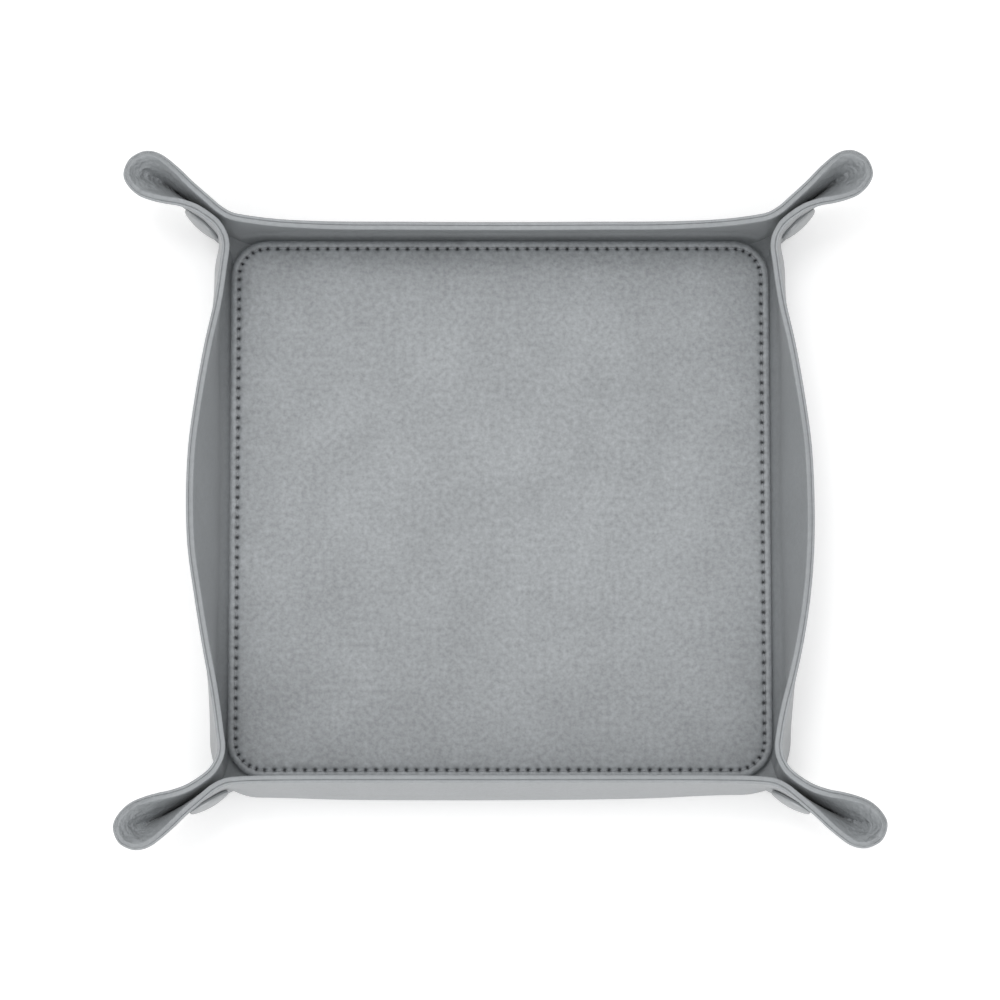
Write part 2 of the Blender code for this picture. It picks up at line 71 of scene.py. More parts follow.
def leatherette(name, colour, depth, mottle, sheen):
    """Pebbled leatherette with pores, a cloudy tone, and creases where a sheet is crumpled. Its
    grain follows the place that each point has while the tray stands folded up."""
    made = bpy.data.materials.new(name)
    made.use_nodes = True
    nodes, links = made.node_tree.nodes, made.node_tree.links
    shader = nodes["Principled BSDF"]
    shader.inputs["Sheen Weight"].default_value = sheen
    shader.inputs["Sheen Roughness"].default_value = 0.5
    place = nodes.new("ShaderNodeAttribute")
    place.attribute_name = "at_rest"
    crumpled = nodes.new("ShaderNodeAttribute")
    crumpled.attribute_name = "crumpled"

    def noise(per_pebble, detail, roughness=0.5):
        texture = nodes.new("ShaderNodeTexNoise")
        texture.inputs["Scale"].default_value = per_pebble / PEBBLE
        texture.inputs["Detail"].default_value = detail
        texture.inputs["Roughness"].default_value = roughness
        links.new(place.outputs["Vector"], texture.inputs["Vector"])
        return texture.outputs["Fac"]

    def calculated(operation, *values):
        step = nodes.new("ShaderNodeMath")
        step.operation = operation
        for socket, value in zip(step.inputs, values):
            if isinstance(value, bpy.types.NodeSocket):
                links.new(value, socket)
            else:
                socket.default_value = value
        return step.outputs[0]

    def stretched(value, span, onto):
        step = nodes.new("ShaderNodeMapRange")
        for label, number in zip(("From Min", "From Max", "To Min", "To Max"), (*span, *onto)):
            step.inputs[label].default_value = number
        links.new(value, step.inputs["Value"])
        return step.outputs["Result"]

    pores = noise(0.55, 5, 0.65)
    clouds = noise(0.05, 4)
    creases = noise(0.28, 2)
    pebbles = nodes.new("ShaderNodeTexVoronoi")
    pebbles.feature = "SMOOTH_F1"
    pebbles.inputs["Scale"].default_value = 1 / PEBBLE
    pebbles.inputs["Smoothness"].default_value = 0.6
    links.new(place.outputs["Vector"], pebbles.inputs["Vector"])

    grain = calculated("MULTIPLY", calculated("ADD", pebbles.outputs["Distance"], pores), 0.5)
    crumple = calculated("MULTIPLY", creases, crumpled.outputs["Fac"])
    bump = nodes.new("ShaderNodeBump")
    bump.inputs["Strength"].default_value = 0.9
    bump.inputs["Distance"].default_value = depth
    links.new(calculated("MULTIPLY_ADD", crumple, CREASE_RELIEF, grain), bump.inputs["Height"])
    links.new(bump.outputs["Normal"], shader.inputs["Normal"])

    speckle = stretched(pores, (0.3, 0.7), (1 - mottle, 1 + mottle))
    drift = stretched(clouds, (0.3, 0.7), (1 - mottle / 3, 1 + mottle / 3))
    tone = nodes.new("ShaderNodeVectorMath")
    tone.operation = "SCALE"
    tone.inputs[0].default_value = colour
    links.new(calculated("MULTIPLY", speckle, drift), tone.inputs["Scale"])
    links.new(tone.outputs["Vector"], shader.inputs["Base Color"])
    links.new(stretched(pores, (0, 1), (0.42, 0.62)), shader.inputs["Roughness"])
    return made


SKINS = {
    "cover": leatherette("grey_leatherette_cover", COVER_COLOUR_WITH_PAINTED_LIGHT, depth=0.00009, mottle=0.09, sheen=0.3),
    "lining": leatherette("grey_leatherette_lining", LINING_COLOUR, depth=0.00009, mottle=0.08, sheen=0.12),
}


def keep_place(piece):
    """Stores each point's place at rest, for the grain."""
    mesh = piece.data
    store = mesh.attributes.new("at_rest", "FLOAT_VECTOR", "POINT")
    where = np.empty(len(mesh.vertices) * 3, np.float32)
    mesh.vertices.foreach_get("co", where)
    store.data.foreach_set("vector", where)


def floor_outline():
    """The edge of the floor: straight between the corners, and a little further out at each."""
    ring = []
    for tag in ("ne", "se", "sw", "nw"):
        sx, sy = CORNERS[tag]
        corner = [(x * sx, y * sy) for x, y in FLOOR_CORNER]
        ring += corner if sx * sy > 0 else corner[::-1]
    return ring


for ply, (low, high) in PLIES.items():
    ring = floor_outline()
    bpy.ops.object.select_all(action="DESELECT")
    bpy.ops.mesh.primitive_circle_add(vertices=len(ring), radius=FOLD, fill_type="NGON")
    plate = bpy.context.object
    plate.name = f"floor_{ply}_sheet"
    for vertex, (x, y) in zip(plate.data.vertices, ring):
        vertex.co = (x, y, SHEET / 2 - high)
    bpy.ops.object.mode_set(mode="EDIT")
    bpy.ops.mesh.select_all(action="SELECT")
    bpy.ops.mesh.extrude_region_move(TRANSFORM_OT_translate={"value": (0, 0, high - low)})
    bpy.ops.mesh.select_all(action="SELECT")
    bpy.ops.mesh.normals_make_consistent(inside=False)
    bpy.ops.object.mode_set(mode="OBJECT")
    keep_place(plate)
    plate.data.materials.append(SKINS[ply])
    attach(plate, "tray_floor")
    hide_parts(f"floor_{ply}")

# The four walls. Each is the same sheet folded up from the floor. The fold is soft, so the foot
# bulges, and the rim leans back in to the press studs. The east and west walls bow outwards. A
# wall's two plies run on past its seams, into the roots of the ears at its ends.
WALL_HEIGHT = 0.034
WALL_COLUMNS = 126
ROWS = 30
RIM_ROUND = 0.0003
FOOT_SHARE = 0.2
ARC_START = 0.0745
FOLD_TALL = 1.5
LEAN_POWER = 1.3
SEAMS = {"north": 0.066, "west": 0.065, "south": 0.066, "east": 0.065}
TURNS = {"north": 0, "west": 1, "south": 2, "east": 3}
WALL_ENDS = {"north": ("ne", "nw"), "west": ("nw", "sw"), "south": ("sw", "se"), "east": ("se", "ne")}
RIM_POINTS = {
    "north": [
        (-0.066, 0.0754), (-0.050, 0.0742), (-0.025, 0.0739), (0, 0.0738), (0.025, 0.0739), (0.050, 0.0742),
        (0.066, 0.0754),
    ],
    "west": [
        (-0.065, 0.0753), (-0.054, 0.0768), (-0.041, 0.0796), (-0.027, 0.0820), (-0.014, 0.0837),
        (0, 0.08425), (0.014, 0.0837), (0.027, 0.0818), (0.041, 0.0794), (0.054, 0.0769), (0.065, 0.0753),
    ],
    "south": [(-0.066, 0.0772), (-0.025, 0.0770), (0, 0.0770), (0.025, 0.0770), (0.066, 0.0772)],
    "east": [
        (-0.065, 0.0753), (-0.057, 0.0769), (-0.050, 0.07875), (-0.041, 0.0808), (-0.027, 0.0831),
        (-0.014, 0.0842), (0, 0.08435), (0.014, 0.0837), (0.027, 0.0820), (0.041, 0.0796), (0.054, 0.0768),
        (0.065, 0.0753),
    ],
}
RIM_SLOPES = {"north": 0.14, "west": -0.13, "south": 0.02, "east": -0.13}
BULGES = {
    "north": [(-0.066, 0.0013), (0, 0.0012), (0.066, 0.0013)],
    "west": [
        (-0.065, 0.0014), (-0.045, 0.0022), (-0.020, 0.0018), (0.020, 0.0018), (0.045, 0.0021),
        (0.065, 0.0015),
    ],
    "south": [
        (-0.066, 0.0025), (-0.044, 0.0031), (-0.016, 0.0033), (0.011, 0.0032), (0.038, 0.0028),
        (0.066, 0.0017),
    ],
    "east": [
        (-0.065, 0.0017), (-0.052, 0.0025), (-0.035, 0.0025), (0, 0.0018), (0.045, 0.0020), (0.065, 0.0013),
    ],
}


def flat_sheet(name, across, along):
    """A flat grid of two faces, closed all round: the inner face's points first."""
    bpy.ops.object.select_all(action="DESELECT")
    bpy.ops.mesh.primitive_grid_add(x_subdivisions=across, y_subdivisions=along, size=2)
    piece = bpy.context.object
    piece.name = name
    bpy.ops.object.mode_set(mode="EDIT")
    bpy.ops.mesh.select_all(action="SELECT")
    bpy.ops.mesh.extrude_region_move(TRANSFORM_OT_translate={"value": (0, 0, 1)})
    bpy.ops.object.mode_set(mode="OBJECT")
    return piece


def lay_out(piece, place_of, span, run_past=0):
    """Puts each point of a flat sheet where place_of(share along, share up) has it, out from mid sheet."""
    mesh = piece.data
    where = np.empty(len(mesh.vertices) * 3)
    mesh.vertices.foreach_get("co", where)
    where = where.reshape(-1, 3)
    along = (where[:, 0] + 1) / 2
    up = (where[:, 1] + 1) / 2
    out = np.where(where[:, 2] > 0.5, span[1], span[0])
    step = 1e-4
    near, far = np.clip((along - step, along + step), -run_past, 1 + run_past)
    low, high = np.clip((up - step, up + step), 0, 1)
    normal = np.cross(place_of(far, up) - place_of(near, up), place_of(along, high) - place_of(along, low))
    normal /= np.linalg.norm(normal, axis=1)[:, None]
    placed = place_of(along, up) + out[:, None] * normal
    mesh.vertices.foreach_set("co", placed.astype(np.float32).ravel())
    mesh.update()


def soften_rim(piece, flat):
    """Rounds the two long edges of a sheet's rim, found by where its points lay when it was flat."""
    bpy.ops.object.select_all(action="DESELECT")
    bpy.context.view_layer.objects.active = piece
    piece.select_set(True)
    bpy.ops.object.mode_set(mode="EDIT")
    bpy.ops.mesh.select_all(action="SELECT")
    bpy.ops.mesh.normals_make_consistent(inside=False)
    bpy.ops.mesh.select_mode(type="EDGE")
    bpy.ops.mesh.select_all(action="DESELECT")
    bpy.ops.object.mode_set(mode="OBJECT")
    for edge in piece.data.edges:
        one, other = (flat[number] for number in edge.vertices)
        edge.select = one[1] > 0.99 and other[1] > 0.99 and one[2] == other[2]
    bpy.ops.object.mode_set(mode="EDIT")
    bpy.ops.mesh.bevel(offset=RIM_ROUND, segments=3, affect="EDGES")
    bpy.ops.mesh.select_mode(type="VERT")
    bpy.ops.object.mode_set(mode="OBJECT")
    bpy.ops.object.shade_smooth_by_angle(angle=math.radians(50))


def through(points, end_slope, place):
    """A smooth curve through points along a wall, read at a place."""
    xs, ys = np.array(points).T
    slopes = np.gradient(ys, xs)
    slopes[0], slopes[-1] = -end_slope, end_slope
    place = np.clip(place, xs[0], xs[-1])
    index = np.clip(np.searchsorted(xs, place) - 1, 0, len(xs) - 2)
    wide = xs[index + 1] - xs[index]
    t = (place - xs[index]) / wide
    return (
        (2 * t**3 - 3 * t**2 + 1) * ys[index]
        + (t**3 - 2 * t**2 + t) * wide * slopes[index]
        + (3 * t**2 - 2 * t**3) * ys[index + 1]
        + (t**3 - t**2) * wide * slopes[index + 1]
    )


def section(up, bulge, rim):
    """How far out a wall's mid sheet stands, and how high: a flat strip, a soft fold, then the lean."""
    base = FOLD + bulge
    radius = base - ARC_START
    strip = ARC_START - FLAT_HALF
    path = strip + math.pi / 2 * radius
    run = np.clip(up / FOOT_SHARE, 0, 1) * path
    bend = np.clip((run - strip) / radius, 0, math.pi / 2)
    out = base - radius * (1 - np.sin(bend)) - np.clip(strip - run, 0, None)
    height = SHEET / 2 + FOLD_TALL * radius * (1 - np.cos(bend))
    rise = np.clip((up - FOOT_SHARE) / (1 - FOOT_SHARE), 0, 1)
    left = WALL_HEIGHT - SHEET / 2 - FOLD_TALL * radius
    return out + (rim - base) * rise**LEAN_POWER, height + rise * left


def turned(points, quarter):
    """Turns points anticlockwise in plan by quarters of a turn."""
    x, y, z = points.T
    for _ in range(quarter):
        x, y = -y, x
    return np.stack([x, y, z], 1)


# The run of an ear in the north-east corner, from the north wall's seam round the nose to the
# east wall's: its rim and its foot, seen from above. The other corners mirror it, and REACHES and
# SWINGS move each nose along and across the ear.
EAR_RIM = [
    (0.0660, 0.0754), (0.0700, 0.0760), (0.0738, 0.0769), (0.0769, 0.0788), (0.0796, 0.0811),
    (0.0847, 0.0856), (0.0892, 0.0900), (0.0938, 0.0936), (0.0974, 0.0944), (0.1004, 0.0932),
    (0.1021, 0.0914), (0.1029, 0.0884), (0.1017, 0.0857), (0.0991, 0.0833), (0.0957, 0.0820),
    (0.0920, 0.0812), (0.0880, 0.0806), (0.0837, 0.0792), (0.0799, 0.0769), (0.0776, 0.0750),
    (0.0762, 0.0730), (0.0752, 0.0707), (0.0749, 0.0680), (0.0753, 0.0650),
]
EAR_FOOT = [
    (0.0660, 0.0774), (0.0700, 0.0774), (0.0728, 0.0775), (0.0750, 0.0781), (0.0764, 0.0790),
    (0.0771, 0.0794), (0.0777, 0.0797), (0.0785, 0.0798), (0.0791, 0.0797), (0.0796, 0.0794),
    (0.0800, 0.0789), (0.0802, 0.0785), (0.0803, 0.0780), (0.0802, 0.0775), (0.0800, 0.0770),
    (0.0797, 0.0767), (0.0793, 0.0763), (0.0789, 0.0760), (0.0785, 0.0758), (0.0779, 0.0749),
    (0.0775, 0.0733), (0.0774, 0.0712), (0.0774, 0.0685), (0.0774, 0.0650),
]
SEAM_POINT = {"long": 0, "side": 23}
CORNER_POINT = {"long": 3, "side": 19}
NOSE_POINT = 10
EAR_ANGLE = math.radians(30.5)
EAR_LINE = np.array([math.cos(EAR_ANGLE), math.sin(EAR_ANGLE)])
EAR_ACROSS = np.array([-math.sin(EAR_ANGLE), math.cos(EAR_ANGLE)])
REACHES = {"ne": -0.0010, "nw": -0.0003, "sw": 0.0011, "se": 0.0009}
SWINGS = {"ne": 0.0010, "nw": 0.0002, "sw": 0.0010, "se": 0.0004}
SOUTH_RIM_DRIFT = 0.0018
NOSE_DROP = 0.0006
ROOT_END = 0.78
ROOT_RUN = 0.0078

# How the press stud nips the two halves of an ear together, below the rim's open loop.
STUD_HEIGHT = 0.019
CORNER_LEAN = 0.0015
NIPPED_HALF = 0.00117
NIP_GRIP = 1.7
NIP_START = -0.002
NIP_RUN = 0.006
NIP_OFF_CENTRES = {"north": -0.0009, "south": 0.0011}
SWERVES = {"north": 0.0018, "south": 0.0}
SWERVE_FULL = 0.011
SWERVE_ENDING = 0.020
SWERVE_END_RUN = 0.0104
SWERVE_RISE = 0.012
OPEN_FROM = 0.017
OPEN_POWER = 2.2


def flowing(points, at):
    """A smooth curve through points, at a fractional point number."""
    known = np.array(points)
    count = len(known)
    index = np.clip(np.floor(at).astype(int), 0, count - 2)
    t = (at - index)[:, None]
    p1, p2 = known[index], known[index + 1]
    before = np.where((index > 0)[:, None], known[np.clip(index - 1, 0, None)], 2 * p1 - p2)
    after = np.where((index < count - 2)[:, None], known[np.clip(index + 2, None, count - 1)], 2 * p2 - p1)
    return 0.5 * (
        2 * p1 + (p2 - before) * t + (2 * before - 5 * p1 + 4 * p2 - after) * t**2
        + (3 * p1 - before - 3 * p2 + after) * t**3
    )


def smooth(share):
    """Eases a share from 0 to 1."""
    share = np.clip(share, 0, 1)
    return share * share * (3 - 2 * share)


def wall_of(tag, half):
    """The wall that one half of an ear grows from: the long half's is the north or south one."""
    east, north = CORNERS[tag]
    if half == "long":
        return "north" if north > 0 else "south"
    return "east" if east > 0 else "west"


def ear_place(tag, half, first, last):
    """The mid sheet of one half of an ear, in the north-east corner, from one station to another.
    Station 0 is the seam with the wall, 1 the corner and 2 the nose."""
    seam, corner = SEAM_POINT[half], CORNER_POINT[half]
    outwards = 0 if half == "side" else 1
    end = "north" if CORNERS[tag][1] > 0 else "south"
    wall = wall_of(tag, half)
    rim_drift = SOUTH_RIM_DRIFT if wall == "south" else 0.0
    nose_shift = REACHES[tag] * EAR_LINE + SWINGS[tag] * EAR_ACROSS
    end_bulge = BULGES[wall][0 if tag == WALL_ENDS[wall][0] else -1][1]

    def place(along, up):
        station = first + (last - first) * along
        at = np.where(
            station < 1, seam + station * (corner - seam), corner + (station - 1) * (NOSE_POINT - corner)
        )
        rim = flowing(EAR_RIM, at)
        foot = flowing(EAR_FOOT, at)
        past = np.clip(2 - np.abs(2 - station), 0, 2)
        rim[:, outwards] += rim_drift * np.clip(1 - past / 1.5, 0, 1)
        rim += smooth(past - 1)[:, None] * nose_shift

        # The wall's own section fades into a cone between the foot and the rim.
        root = np.clip(past, 0, 1)
        cone = smooth(root)
        bulge = end_bulge * (1 - smooth((root - 0.5) / 0.5))
        wall_out, wall_height = section(up, bulge, rim[:, outwards])
        cone_height = SHEET / 2 + up * (WALL_HEIGHT - SHEET / 2)
        height = (1 - cone) * wall_height + cone * cone_height
        share = (height / WALL_HEIGHT)[:, None]
        plan = foot + (rim - foot) * share
        plan[:, outwards] = (1 - cone) * wall_out + cone * plan[:, outwards]

        # The nip draws the halves to the ear's middle line, which swerves a little on its way.
        nose_rim = np.array(EAR_RIM[NOSE_POINT]) + nose_shift
        nose = np.array(EAR_FOOT[NOSE_POINT]) + (nose_rim - np.array(EAR_FOOT[NOSE_POINT])) * share
        origin = FOLD - CORNER_LEAN * share
        u, v = (plan - origin) @ EAR_LINE, (plan - origin) @ EAR_ACROSS
        nose_u, nose_v = (nose - origin) @ EAR_LINE, (nose - origin) @ EAR_ACROSS
        off = NIP_OFF_CENTRES[end] * np.clip(height / STUD_HEIGHT, 0, 1)
        middle = off + (nose_v - off) * np.clip(u / nose_u, 0, 1) ** 2
        open_share = np.clip((height - OPEN_FROM) / (WALL_HEIGHT - OPEN_FROM), 0, 1) ** OPEN_POWER
        sign = np.where((half == "long") == (station <= 2), 1, -1)
        apart = np.clip(sign * (v - middle), 0, None)
        nipped = NIPPED_HALF * np.tanh(NIP_GRIP * apart / NIPPED_HALF)
        apart = open_share * apart + (1 - open_share) * nipped
        held = smooth((u - NIP_START) / NIP_RUN) * cone
        aside = SWERVES[end] * smooth(u / SWERVE_FULL) * (1 - smooth((u - SWERVE_ENDING) / SWERVE_END_RUN))
        aside = aside * (1 - open_share) * smooth(height / SWERVE_RISE)
        plan = plan + (held * (middle + sign * apart - v) + cone * aside)[:, None] * EAR_ACROSS
        level = height * (1 - NOSE_DROP * np.clip(past - 1, 0, 1) ** 2 / WALL_HEIGHT)
        return np.stack([plan[:, 0], plan[:, 1], level], 1)

    return place


def wall_place(side):
    """The mid sheet of a wall, and of the root of the ear at each end of it."""
    seam = SEAMS[side]
    half = "long" if side in ("north", "south") else "side"
    first_tag, last_tag = WALL_ENDS[side]
    roots = {tag: ear_place(tag, half, 0, ROOT_END) for tag in (first_tag, last_tag)}

    def place(along, up):
        share = (2 * along - 1) * (1 + ROOT_RUN / seam)
        reach = np.clip(share, -1, 1) * seam
        bulge = through(BULGES[side], 0, reach)
        out, height = section(up, bulge, through(RIM_POINTS[side], RIM_SLOPES[side], reach))
        placed = turned(np.stack([-reach, out, height], 1), TURNS[side])
        past = (np.abs(share) - 1) * seam / ROOT_RUN
        for tag, picked in ((first_tag, share < -1), (last_tag, share > 1)):
            if picked.any():
                placed[picked] = roots[tag](past[picked], up[picked]) * (*CORNERS[tag], 1)
        return placed

    return place


for side in TURNS:
    place_of = wall_place(side)
    for ply, span in PLIES.items():
        wall = flat_sheet(f"{side}_wall_{ply}_sheet", WALL_COLUMNS, ROWS)
        flat = [tuple(vertex.co) for vertex in wall.data.vertices]
        lay_out(wall, place_of, span)
        soften_rim(wall, flat)
        keep_place(wall)
        wall.data.materials.append(SKINS[ply])
        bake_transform(wall)
        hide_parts(f"{side}_wall_{ply}")

# The four ears. The spare square of sheet at each corner is pinched into a loop that leans
# towards the east or west. One half of the loop grows from the north or south wall, the other
# from the side wall, each a neck and a nose. They meet round the nose, where the sheet crumples.
NECK_END = 1.42
NECK_COLUMNS = 40
NOSE_COLUMNS = 46


def ear_sheet(name, tag, half, first, last, columns, ply):
    """One ply of a half of an ear, from one station to another. It crumples towards the nose."""
    piece = flat_sheet(name, columns, ROWS)
    flat = [tuple(vertex.co) for vertex in piece.data.vertices]
    shares = smooth(first + (last - first) * (np.array([point[0] for point in flat]) + 1) / 2 - 1)
    crumpled = piece.data.attributes.new("crumpled", "FLOAT", "POINT")
    crumpled.data.foreach_set("value", shares.astype(np.float32))
    low, high = PLIES[ply]
    span = (-low, -high) if half == "long" else (low, high)
    lay_out(piece, ear_place(tag, half, first, last), span, run_past=0.2)
    soften_rim(piece, flat)
    east, north = CORNERS[tag]
    piece.data.transform(Matrix.Diagonal((east, north, 1, 1)))
    if east * north < 0:
        piece.data.flip_normals()
    keep_place(piece)
    piece.data.materials.append(SKINS[ply])
    return piece


for tag, corner in CORNERS.items():
    there = Matrix.Diagonal((*corner, 1))
    for half in ("long", "side"):
        side = wall_of(tag, half)
        body = f"ear_{tag}_{side}"
        for ply in PLIES:
            wall = f"{side}_wall_{ply}_sheet"
            neck = ear_sheet(f"{body}_neck_{ply}", tag, half, ROOT_END, NECK_END, NECK_COLUMNS, ply)
            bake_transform(neck)
            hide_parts(f"{body}_{ply}")
            nose = ear_sheet(f"{body}_nose_{ply}", tag, half, NECK_END, 2, NOSE_COLUMNS, ply)
            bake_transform(nose)
            if ply == "cover":
                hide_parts(f"{body}_tip")

# The board core of the pad. It is a square of grey board inside the pad's cover, which keeps the
# pad flat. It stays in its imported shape.
BOARD_COLOUR = (0.35, 0.34, 0.32, 1)


def marked(material, size, depth, low, high):
    """Fine marks on a plain material: uneven polish and a slight relief."""
    nodes, links = material.node_tree.nodes, material.node_tree.links
    shader = nodes["Principled BSDF"]
    where = nodes.new("ShaderNodeTexCoord")
    marks = nodes.new("ShaderNodeTexNoise")
    marks.inputs["Scale"].default_value = 1 / size
    marks.inputs["Detail"].default_value = 4
    polish = nodes.new("ShaderNodeMapRange")
    polish.inputs["To Min"].default_value = low
    polish.inputs["To Max"].default_value = high
    relief = nodes.new("ShaderNodeBump")
    relief.inputs["Distance"].default_value = depth
    links.new(where.outputs["Object"], marks.inputs["Vector"])
    links.new(marks.outputs["Fac"], polish.inputs["Value"])
    links.new(polish.outputs["Result"], shader.inputs["Roughness"])
    links.new(marks.outputs["Fac"], relief.inputs["Height"])
    links.new(relief.outputs["Normal"], shader.inputs["Normal"])


board_look = bpy.data.materials.new("grey_board")
board_look.use_nodes = True
board_look.node_tree.nodes["Principled BSDF"].inputs["Base Color"].default_value = BOARD_COLOUR
marked(board_look, size=0.0006, depth=0.00005, low=0.8, high=0.95)
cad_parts["pad_board"].material_slots[0].material = board_look

# The pad on the floor. It is a board wrapped in the same leatherette over thin foam, so its top
# is crowned, its edge rolls over, and the seam near the edge pulls it down in a groove with a
# dimple at each needle hole. Its middle is plain.
PAD_COLOUR = (0.335, 0.352, 0.366)
# Painted shade: the needle holes are darkened almost to black, for the shade down in them.
HOLE_SHADE_COLOUR = (0.03, 0.032, 0.035, 1)
PAD_HALF = 0.0754
PAD_CORNER = 0.0102
TIGHTEST_CORNER = 0.0008
PAD_FOOT = 0.0024
PAD_TOP = 0.0054
PAD_EDGE = 0.0011
PAD_CROWN = 0.0005
CROWN_RUN = 0.006
SEAM_INSET = 0.00225
GROOVE_HALF = 0.0006
GROOVE_DEPTH = 0.00022
HOLE_RADIUS = 0.00055
HOLE_DEPTH = 0.0007
PAD_AROUND = 4 * (2 * (PAD_HALF - PAD_CORNER) + math.pi / 2 * PAD_CORNER)
STITCHES = round(PAD_AROUND / 0.0028)
PITCH = PAD_AROUND / STITCHES
STEPS = 8
PAD_COLUMNS = STITCHES * STEPS
PAD_INSETS = [
    0, 0, 0.00008, 0.00025, 0.0005, 0.0008, 0.0012, 0.0015, 0.00175, 0.0019, 0.00205, 0.00215, 0.00225,
    0.00235, 0.00245, 0.0026, 0.00275, 0.0030, 0.0035, 0.0045, 0.006, 0.0085, 0.012, 0.02, 0.03, 0.045,
    0.06, 0.071,
]
pad_skin = leatherette("grey_leatherette_pad", PAD_COLOUR, depth=0.00012, mottle=0.22, sheen=0.12)
pad_nodes, pad_links = pad_skin.node_tree.nodes, pad_skin.node_tree.links
# The pad's colour is mixed towards the hole shade colour at each needle hole: painted shade.
hole_shade = pad_nodes.new("ShaderNodeAttribute")
hole_shade.attribute_name = "needle_hole"
darken = pad_nodes.new("ShaderNodeMix")
darken.data_type = "RGBA"
darken.inputs["B"].default_value = HOLE_SHADE_COLOUR
surface = pad_nodes["Principled BSDF"].inputs["Base Color"]
pad_links.new(surface.links[0].from_socket, darken.inputs["A"])
pad_links.new(hole_shade.outputs["Fac"], darken.inputs["Factor"])
pad_links.new(darken.outputs["Result"], surface)


def pad_ring(inset, count):
    """Points round the pad at an inset, the same share of the way round at every inset."""
    straight, bend = 2 * (PAD_HALF - PAD_CORNER), math.pi / 2 * PAD_CORNER
    run = np.arange(count) / count * PAD_AROUND
    side = np.floor(run / (straight + bend)).astype(int)
    local = run - side * (straight + bend)
    reach = PAD_HALF - inset
    tight = max(PAD_CORNER - inset, TIGHTEST_CORNER + PAD_CORNER * 0.2 * (1 - inset / PAD_HALF))
    line = reach - tight
    share = np.clip(local / straight, 0, 1)
    angle = np.clip((local - straight) / PAD_CORNER, 0, math.pi / 2)
    x = np.where(local < straight, -line + 2 * line * share, line + tight * np.sin(angle))
    y = np.where(local < straight, reach, line + tight * np.cos(angle))
    cos, sin = np.array([1, 0, -1, 0])[side], np.array([0, -1, 0, 1])[side]
    return np.stack([x * cos - y * sin, x * sin + y * cos], 1), run


def needle_hole(inset, run):
    """1 in the middle of a needle hole, fading to 0 round it: the dimple there, and the painted shade in
    it.
    """
    away = (run + PITCH / 2) % PITCH - PITCH / 2
    return np.exp(-((away**2 + (inset - SEAM_INSET) ** 2) / HOLE_RADIUS**2) ** 1.5)


def pad_height(inset, run):
    """The top of the pad at an inset, dimpled at the needle holes."""
    roll = PAD_EDGE - math.sqrt(PAD_EDGE**2 - max(PAD_EDGE - inset, 0) ** 2)
    groove = math.exp(-(((inset - SEAM_INSET) / GROOVE_HALF) ** 2))
    crown = PAD_CROWN * (1 - math.exp(-max(inset - SEAM_INSET, 0) / CROWN_RUN))
    return PAD_TOP - roll - GROOVE_DEPTH * groove - HOLE_DEPTH * needle_hole(inset, run) + crown


bpy.ops.object.select_all(action="DESELECT")
bpy.ops.mesh.primitive_circle_add(vertices=PAD_COLUMNS, radius=PAD_HALF, fill_type="NOTHING")
pad = bpy.context.object
pad.name = "pad_cover_padded"
bpy.ops.object.mode_set(mode="EDIT")
bpy.ops.mesh.select_all(action="SELECT")
for _ in PAD_INSETS[1:]:
    bpy.ops.mesh.extrude_region_move(TRANSFORM_OT_translate={"value": (0, 0, 0.001)})
bpy.ops.mesh.fill()
bpy.ops.object.mode_set(mode="OBJECT")
levels = np.round(np.array([vertex.co.z for vertex in pad.data.vertices]) / 0.001).astype(int)
turn = np.array([math.atan2(vertex.co.x, vertex.co.y) % (2 * math.pi) for vertex in pad.data.vertices])
column = np.round(turn / (2 * math.pi) * PAD_COLUMNS).astype(int) % PAD_COLUMNS
placed = np.zeros((len(levels), 3))
holes = np.zeros(len(levels), np.float32)
for level, inset in enumerate(PAD_INSETS):
    ring, run = pad_ring(inset, PAD_COLUMNS)
    picked = levels == level
    placed[picked, :2] = ring[column[picked]]
    top = np.full(PAD_COLUMNS, PAD_FOOT) if level == 0 else pad_height(inset, run)
    placed[picked, 2] = top[column[picked]]
    holes[picked] = needle_hole(inset, run)[column[picked]] if level else 0
pad.data.vertices.foreach_set("co", placed.astype(np.float32).ravel())
bpy.ops.object.mode_set(mode="EDIT")
bpy.ops.mesh.select_all(action="DESELECT")
bpy.ops.object.mode_set(mode="OBJECT")
for vertex in pad.data.vertices:
    vertex.select = bool(levels[vertex.index] == 0)
bpy.ops.object.mode_set(mode="EDIT")
bpy.ops.mesh.select_mode(type="VERT")
bpy.ops.mesh.fill()
bpy.ops.mesh.select_all(action="SELECT")
bpy.ops.mesh.normals_make_consistent(inside=False)
bpy.ops.object.mode_set(mode="OBJECT")
bpy.ops.object.shade_smooth_by_angle(angle=math.radians(60))
keep_place(pad)
pad.data.attributes.new("needle_hole", "FLOAT", "POINT").data.foreach_set("value", holes)
pad.data.materials.append(pad_skin)
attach(pad, "tray_floor")
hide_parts("pad_cover")

# The seam of the pad. Each stitch is a short bight of twisted grey thread that dives into a
# needle hole at both ends.
THREAD = 0.00021
THREAD_TAPER = 0.45
THREAD_SUNK = 0.00012
STITCH_DIP = 0.00030
STITCH_SLANT = 0.00008
STITCH_BOW = 0.00022
